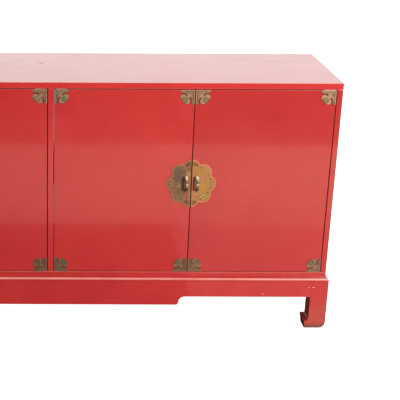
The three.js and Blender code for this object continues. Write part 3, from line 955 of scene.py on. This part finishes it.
def escutcheon_details():
    """Strokes, studs and rosettes on the half on +X."""
    made = []
    for i in range(-2, 3):
        turn = LOBE_TURN * i
        if i % 2 == 0:
            made += [stroke(61 * MM, 71 * MM, turn + k * 0.095, 2.2 * MM, 0.35 * MM) for k in range(-2, 3)]
        else:
            made += [nail(around(radius, turn + spread), 1.7 * MM, 0.1 * MM, 0.5 * MM)
                     for radius, spread in LOBE_STUDS]
    for sign in (-1, 1):
        centre = (ROSETTE_ACROSS, sign * ROSETTE_RISE)
        made.append(ring(centre, 6.2 * MM, 0.5 * MM, 0.0, 32, 6))
        made.append(nail(centre, 2.4 * MM, 0.1 * MM, 0.9 * MM))
        for k in range(8):
            spot = around(4.3 * MM, k * math.pi / 4)
            made.append(nail((centre[0] + spot[0], centre[1] + spot[1]), 0.8 * MM, 0.0, 0.4 * MM))
    return made


def escutcheon_master(thickness, gap_half):
    plate = escutcheon_half_master(thickness, gap_half)
    turns = [LOBE_TURN * (i + 0.5) + side * PIT_TURN for i in range(-2, 2) for side in (-1, 1)]
    pits = [disc(around(PIT_RING, turn), 1.9 * MM, -1 * MM, 0.45 * MM, 16) for turn in turns]
    combine(plate, lobed_groove(GROOVE_INSET, 0.4 * MM) + pits, "DIFFERENCE")
    with editing(plate):
        bpy.ops.mesh.select_all(action="SELECT")
        bpy.ops.mesh.remove_doubles(threshold=1e-6)
    smooth(plate, 12)
    with editing(plate, "FACE"):
        pick(plate, "faces", lambda face: abs(face.normal.y) > 0.99)
        bpy.ops.mesh.faces_shade_flat()
    details = [smooth(piece, 60) for piece in escutcheon_details()]
    return gather([plate, *details], "escutcheon_master")


# engraved colours the engraving and also the painted shadow under the lower rosette and the painted shade
# along the middle line; shade_at and shade place and colour the painted shadow beside the pull.
GOLD_TONES = {
    "field": BRASS_GOLD,
    "dull": (0.560, 0.297, 0.112),
    "lobes": (0.605, 0.325, 0.123),
    "gap": (0.694, 0.302, 0.157),
    "rim": (0.806, 0.308, 0.185),
    "engraved": (0.19, 0.068, 0.020),
    "patches": (
        ((36 * MM, 16 * MM), 14 * MM, (0.672, 0.308, 0.146)),
        ((30 * MM, -12 * MM), 17 * MM, (0.739, 0.358, 0.090)),
        (around(60 * MM, -math.pi / 4), 14 * MM, (0.627, 0.448, 0.146)),
    ),
    "shade_at": (5.5 * MM, 12 * MM),
    "shade": (0.13, 0.045, 0.012),
}
# The halves on the left are the same brass painted darker, as painted shade for the darker surroundings that
# they mirror.
SHADED_HALF_TONES = {
    "field": (0.370, 0.207, 0.123),
    "dull": (0.269, 0.146, 0.084),
    "lobes": (0.448, 0.224, 0.134),
    "gap": (0.739, 0.370, 0.179),
    "rim": (0.582, 0.218, 0.134),
    "engraved": (0.13, 0.060, 0.034),
    "patches": (
        ((42 * MM, 42 * MM), 15 * MM, (0.196, 0.162, 0.112)),
        ((44 * MM, 18 * MM), 13 * MM, (0.224, 0.134, 0.129)),
        ((10 * MM, 34 * MM), 9 * MM, (0.627, 0.370, 0.202)),
        ((38 * MM, -8 * MM), 8 * MM, (0.470, 0.314, 0.196)),
        ((36 * MM, -36 * MM), 12 * MM, (0.336, 0.213, 0.084)),
    ),
    "shade_at": (21 * MM, 30 * MM),
    "shade": (0.085, 0.045, 0.018),
}


def make_escutcheons():
    low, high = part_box("right_outer_escutcheon")
    inner_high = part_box("right_inner_escutcheon")[1]
    gap_half = (low.x - inner_high.x) / 2
    master = escutcheon_master(high.y - low.y, gap_half)
    for door in DOORS:
        node = f"{door}_escutcheon"
        low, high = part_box(node)
        on_right = FREE_SIDE[door] < 0  # a door that is free at its left has the right half
        middle_x = low.x - gap_half if on_right else high.x + gap_half
        place = Matrix.Translation((middle_x, low.y, (low.z + high.z) / 2))
        piece = copy_of(master, f"{door}_lobed_plate", place, mirrored=not on_right)
        centre = (middle_x, (low.z + high.z) / 2)
        # Halves on the left take the darker copy of the tones, as painted shade.
        tones = GOLD_TONES if on_right else SHADED_HALF_TONES
        material = lobed_brass(f"{door}_lobed_brass", centre, 1 if on_right else -1, tones)
        finish_piece(piece, material, f"{door}_door_body", [node])
    bpy.data.objects.remove(master)


# ---- Brass: the bow pulls ----


def pull_master(rise, height, width, thickness):
    """A waisted bow standing on y = 0 with its feet above and below, bulging to -Y."""
    half = (height - thickness) / 2
    bpy.ops.mesh.primitive_circle_add(vertices=20, radius=thickness / 2, location=(0, 0, half))
    bow = settle(bpy.context.object)
    with editing(bow):
        bpy.ops.mesh.select_all(action="SELECT")
        bpy.ops.mesh.spin(steps=BOW_STEPS, angle=math.pi, center=(0, 0, 0), axis=(1, 0, 0))
        bpy.ops.mesh.select_all(action="SELECT")
        bpy.ops.mesh.remove_doubles(threshold=1e-6)
        bpy.ops.mesh.fill_holes(sides=0)
        bpy.ops.mesh.normals_make_consistent(inside=False)
    foremost = min(vertex.co.y for vertex in bow.data.vertices)
    if -foremost < half:  # it was spun to the back
        bow.data.transform(Matrix.Rotation(math.pi, 4, "Z"))
    pinch_rings(bow, half)
    bow.data.transform(Matrix.Diagonal((width / thickness, 2 * rise / height, 1, 1)))
    feet = [soften(disc((0, sign * half), 0.38 * width, -1.2 * MM, 0, 32), 0.4 * MM, 3) for sign in (-1, 1)]
    return gather([smooth(piece, 50) for piece in (bow, *feet)], "pull_master")


def pinch_rings(bow, radius):
    """Thins the middle of a round bow to a waist, ring by ring."""
    waist = round(math.asin(WAIST_RISE / radius) * BOW_STEPS / math.pi)
    for k in range(-4, 5):
        turn = math.pi * (k + waist) / BOW_STEPS
        centre = Vector((0, -radius * math.cos(turn), radius * math.sin(turn)))
        factor = 1 - 0.42 * math.exp(-((k / 1.6) ** 2))
        with editing(bow):
            pick(bow, "verts", lambda vertex: abs(math.atan2(vertex.co.z, -vertex.co.y) - turn) < 0.02)
            bpy.ops.transform.resize(value=(factor, factor, factor), center_override=centre)


def make_pulls():
    low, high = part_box("right_outer_pull")
    master = pull_master(high.y - low.y, high.z - low.z, high.x - low.x, 6 * MM)
    for door in DOORS:
        node = f"{door}_pull"
        low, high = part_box(node)
        middle_x, middle_z = (low.x + high.x) / 2, (low.z + high.z) / 2
        piece = copy_of(master, f"{door}_bow_pull", Matrix.Translation((middle_x, high.y, middle_z)))
        material = pull_brass(f"{door}_pull_brass", (middle_x, middle_z), high.x - low.x)
        finish_piece(piece, material, f"{door}_door_body", [node])
    bpy.data.objects.remove(master)


# ---- Screws, hinge leaves, catches and the blocks inside the base ----


def screw_master():
    """A countersunk cross-slot head, facing -Y with its rim at y = 0."""
    head = disc((0, 0), 3.6 * MM, -0.5 * MM, 1.2 * MM, 24)
    soften(head, 0.35 * MM)
    slots = [block((-x, -1 * MM, -z), (x, 0.5 * MM, z)) for x, z in (SCREW_SLOT, SCREW_SLOT[::-1])]
    combine(head, slots, "DIFFERENCE")
    head.name = "screw_master"
    return head


def turned_to(normal):
    """The turn that takes -Y to a direction."""
    return Vector((0, -1, 0)).rotation_difference(Vector(normal)).to_matrix().to_4x4()


def screw_group(master, name, places, normal, body, material):
    """Screws that sit in one piece, as separate shells of one object."""
    turn = turned_to(normal)
    heads = [copy_of(master, f"{name}_{i}", Matrix.Translation(place) @ turn)
             for i, place in enumerate(places)]
    finish_piece(gather(heads, name), material, body)


def make_hinge_leaves(screw, material):
    """The leaf on the top or bottom edge of each door, round the pin, with two screws."""
    for door in DOORS:
        body = f"{door}_door_body"
        pivot = PIVOTS[body]
        side = FREE_SIDE[door]
        door_low, door_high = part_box(f"{door}_door")
        for where, edge, up in (("top", door_high.z, 1), ("bottom", door_low.z, -1)):
            plate_low, plate_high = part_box(f"{door}_{where}_hinge")
            near, far = sorted((edge - up * 0.1 * MM, edge + up * 1.3 * MM))
            leaf = block((plate_low.x, plate_low.y + 1 * MM, near), (plate_high.x, plate_high.y, far))
            bpy.ops.mesh.primitive_cylinder_add(vertices=32, radius=3.2 * MM, depth=10 * MM,
                                                location=(pivot.x, pivot.y, edge))
            combine(leaf, [settle(bpy.context.object)], "DIFFERENCE")
            soften(leaf, 0.25 * MM)
            leaf.name = f"{door}_{where}_leaf"
            finish_piece(leaf, material, body)
            places = [(pivot.x + side * along, pivot.y, edge + up * 1.1 * MM) for along in (11 * MM, 22 * MM)]
            name = f"{door}_{where}_leaf_screws"
            screw_group(screw, name, places, (0, 0, up), body, material)


def make_catches(plastic, steel):
    for hand in ("left", "right"):
        node = f"{hand}_catch"
        low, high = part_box(node)
        middle = (low.x + high.x) / 2
        centres = [middle + way * MAGNET_ASIDE for way in (-1, 1)]
        housing = soften(block((low.x, low.y + 1 * MM, low.z), high), 1.6 * MM, 3)
        z_low, z_high = low.z + 3 * MM, high.z - 4 * MM
        pockets = [block((x - 8 * MM, low.y - 1, z_low), (x + 8 * MM, low.y + 9 * MM, z_high))
                   for x in centres]
        combine(housing, pockets, "DIFFERENCE")
        housing.name = f"{hand}_catch_housing"
        finish_piece(smooth(housing), plastic, "case", [node])
        bars = [block((x - 7.5 * MM, low.y, z), (x + 7.5 * MM, low.y + 8 * MM, z + 1.4 * MM))
                for x in centres for z in (z_low + 1 * MM, z_high - 2.4 * MM)]
        bars = [soften(bar, 0.2 * MM, 1) for bar in bars]
        finish_piece(gather(bars, f"{hand}_catch_magnets"), steel, "case")


def make_strikes(steel):
    """A steel plate inside each door, where the catch holds it."""
    for door in DOORS:
        hand = door.split("_")[0]
        low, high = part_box(f"{hand}_catch")
        x = (low.x + high.x) / 2 - FREE_SIDE[door] * MAGNET_ASIDE
        z = (low.z + high.z) / 2
        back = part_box(f"{door}_door")[1].y
        plate = block((x - 9 * MM, back, z - 6 * MM), (x + 9 * MM, back + 0.9 * MM, z + 5 * MM))
        soften(plate, PLATE_ARRIS)
        plate.name = f"{door}_strike_plate"
        finish_piece(plate, steel, f"{door}_door_body")


def make_back_screws(screw, steel):
    """Screws round the edge of each back panel."""
    inset = 9 * MM
    for hand in ("left", "right"):
        low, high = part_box(f"{hand}_back_panel")
        low, high = low + Vector((inset, 0, inset)), high - Vector((inset, 0, inset))
        across = [low.x + (high.x - low.x) * i / 5 for i in range(6)]
        up = [low.z + (high.z - low.z) * i / 3 for i in (1, 2)]
        places = [(x, high.y + 0.1 * MM, z) for z in (low.z, high.z) for x in across]
        places += [(x, high.y + 0.1 * MM, z) for x in (low.x, high.x) for z in up]
        screw_group(screw, f"{hand}_back_screws", places, (0, 1, 0), "case", steel)


def make_corner_blocks(material):
    """Glued triangular blocks under the board, between the aprons and the legs."""
    size = 46 * MM
    clear = 0.5 * MM
    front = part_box("front_apron")[1].y
    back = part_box("back_apron")[0].y
    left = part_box("left_apron")[1].x
    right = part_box("right_apron")[0].x
    leg_low, leg_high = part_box("front_left_leg")
    depth = leg_high.y - leg_low.y
    for x, way in ((left, 1), (right, -1)):
        for y, run in ((front + depth, 1), (back - depth, -1)):
            low = (min(x + way * clear, x + way * size), min(y, y + run * size), BOARD_LOW.z - size)
            high = (max(x + way * clear, x + way * size), max(y, y + run * size), BOARD_LOW.z - clear)
            wedge = block(low, high)
            with editing(wedge):
                cut_away((x + way * size, y, low[2]), (way, 0, -1))
            soften(wedge, 1 * MM)
            wedge.name = f"{'left' if way > 0 else 'right'}_{'front' if run > 0 else 'back'}_glue_block"
            finish_piece(wedge, material, "case")


# ---- The sideboard ----


DOOR_TONES = {"left_outer": 1.03, "left_inner": 1.02, "right_inner": 1.03, "right_outer": 0.93}


def finish_case():
    upper = edge_line("x", (0, CASE_FRONT, CASE_TOP))
    lower = edge_line("x", (0, CASE_FRONT, TOP_LOW.z))
    # The glint is a painted highlight on the top, drawn as a pale mark with the chips.
    glint = ((-0.0355, 0.07, CASE_TOP), (11 * MM, 9 * MM, 3 * MM))
    # The top's front edges: rubbed wear with a painted highlight.
    edges = [(upper, 1.6 * MM, 0.9, PALE_WEAR_AND_HIGHLIGHT), (lower, 1.6 * MM, 0.30, PALE_WEAR_AND_HIGHLIGHT)]
    keep("top_panel", red_lacquer("lacquer_top", 1.14, edges, chips_and_glints=[glint]))
    # The sill under the doors is painted paler, as painted light.
    sill = edge_line("x", (0, CASE_FRONT + 4 * MM, BOTTOM_HIGH.z))
    keep("bottom_panel", red_lacquer("lacquer_bottom", 0.93, [(sill, 6.0 * MM, 0.7, PALE_SILL)]))
    keep("centre_partition", red_lacquer("lacquer_partition", 1.06))
    for side, outer in (("left", TOP_LOW.x), ("right", TOP_HIGH.x)):
        # Painted shade on the outer front edge.
        edge_wear_and_light = [(edge_line("z", (outer, CASE_FRONT, 0)), 4.0 * MM, 0.9, PAINTED_EDGE_SHADE)]
        keep(f"{side}_side_panel", red_lacquer(f"lacquer_{side}_side", 0.94, edge_wear_and_light))
        for piece in ("shelf", "inner_cleat", "outer_cleat"):
            keep(f"{side}_{piece}", INSIDE)
        keep(f"{side}_back_panel", BACK, SMALL_ARRIS)


def finish_base():
    # The ledge's edges: rubbed wear with a painted highlight.
    ledge = [(edge_line("x", (0, BASE_FRONT, BOARD_HIGH.z)), 6.8 * MM, 0.85, PALE_WEAR_AND_HIGHLIGHT)]
    for x in (BOARD_LOW.x, BASE_SIDE):
        ledge.append((edge_line("y", (x, 0, BOARD_HIGH.z)), 6 * MM, 0.85, PALE_WEAR_AND_HIGHLIGHT))
    keep("base_board", red_lacquer("lacquer_board", 0.97, ledge), SMALL_ARRIS, 2)
    chips_and_glints = [((0.704, BASE_FRONT, BOARD_HIGH.z - 55 * MM), (3 * MM, 3 * MM, 2.5 * MM)),
             ((0.854, BASE_FRONT, BOARD_HIGH.z - 30.5 * MM), (3.5 * MM, 3 * MM, 1.5 * MM))]
    scuffs = [((x, BASE_FRONT, BOARD_HIGH.z - 18 * MM), (reach, 3 * MM, 2 * MM))
              for x, reach in ((0.213, 30 * MM), (0.315, 22 * MM))]
    keep("front_apron", red_lacquer("lacquer_front_apron", 1.02, chips_and_glints=chips_and_glints, scuffs=scuffs), SMALL_ARRIS, 2)
    for side in ("left", "right", "back"):
        keep(f"{side}_apron", red_lacquer(f"lacquer_{side}_apron"), SMALL_ARRIS, 2)
    knock = ((0.8695, BASE_FRONT, BOARD_HIGH.z - 30.5 * MM), (6 * MM, 3 * MM, 1.8 * MM))
    for leg in ("front_left_leg", "front_right_leg", "back_left_leg", "back_right_leg"):
        outer = BOARD_LOW.x if "left" in leg else BASE_SIDE
        # Painted shade on the outer front edge of the leg.
        edge_wear_and_light = [(edge_line("z", (outer, BASE_FRONT, 0)), 6 * MM, 0.5, PAINTED_EDGE_SHADE)]
        marks = [knock] if leg == "front_right_leg" else ()
        keep(leg, red_lacquer(f"lacquer_{leg}", 0.97, edge_wear_and_light, marks, dull=0.65, foot=True), SMALL_ARRIS, 2)


def finish_doors():
    for door, tone in DOOR_TONES.items():
        low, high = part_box(f"{door}_door")
        # Rubbed wear with a painted highlight along the door's top edge.
        upper = edge_line("x", (0, low.y, high.z))
        # The door is painted darker round its mounts and in their slots, as painted shade.
        material = red_lacquer(f"lacquer_{door}_door", tone, [(upper, 1.6 * MM, 0.15, PALE_WEAR_AND_HIGHLIGHT)],
                               painted_shade=mount_painted_shade(door), faces=(low.y, high.y))
        keep(f"{door}_door", material, DOOR_ARRIS, 2)
        for where in ("top", "bottom"):
            keep(f"{door}_{where}_hinge", STEEL, PLATE_ARRIS, 2)


make_camera()
make_stage()

INSIDE = inside_lacquer()
BACK = back_board()
STEEL = plated_steel()
PLASTIC = brown_plastic()

finish_case()
finish_base()
finish_doors()
make_corner_mounts()
make_escutcheons()
make_pulls()
SCREW = screw_master()
make_hinge_leaves(SCREW, STEEL)
make_catches(PLASTIC, STEEL)
make_strikes(STEEL)
make_back_screws(SCREW, STEEL)
make_corner_blocks(BACK)
bpy.data.objects.remove(SCREW)
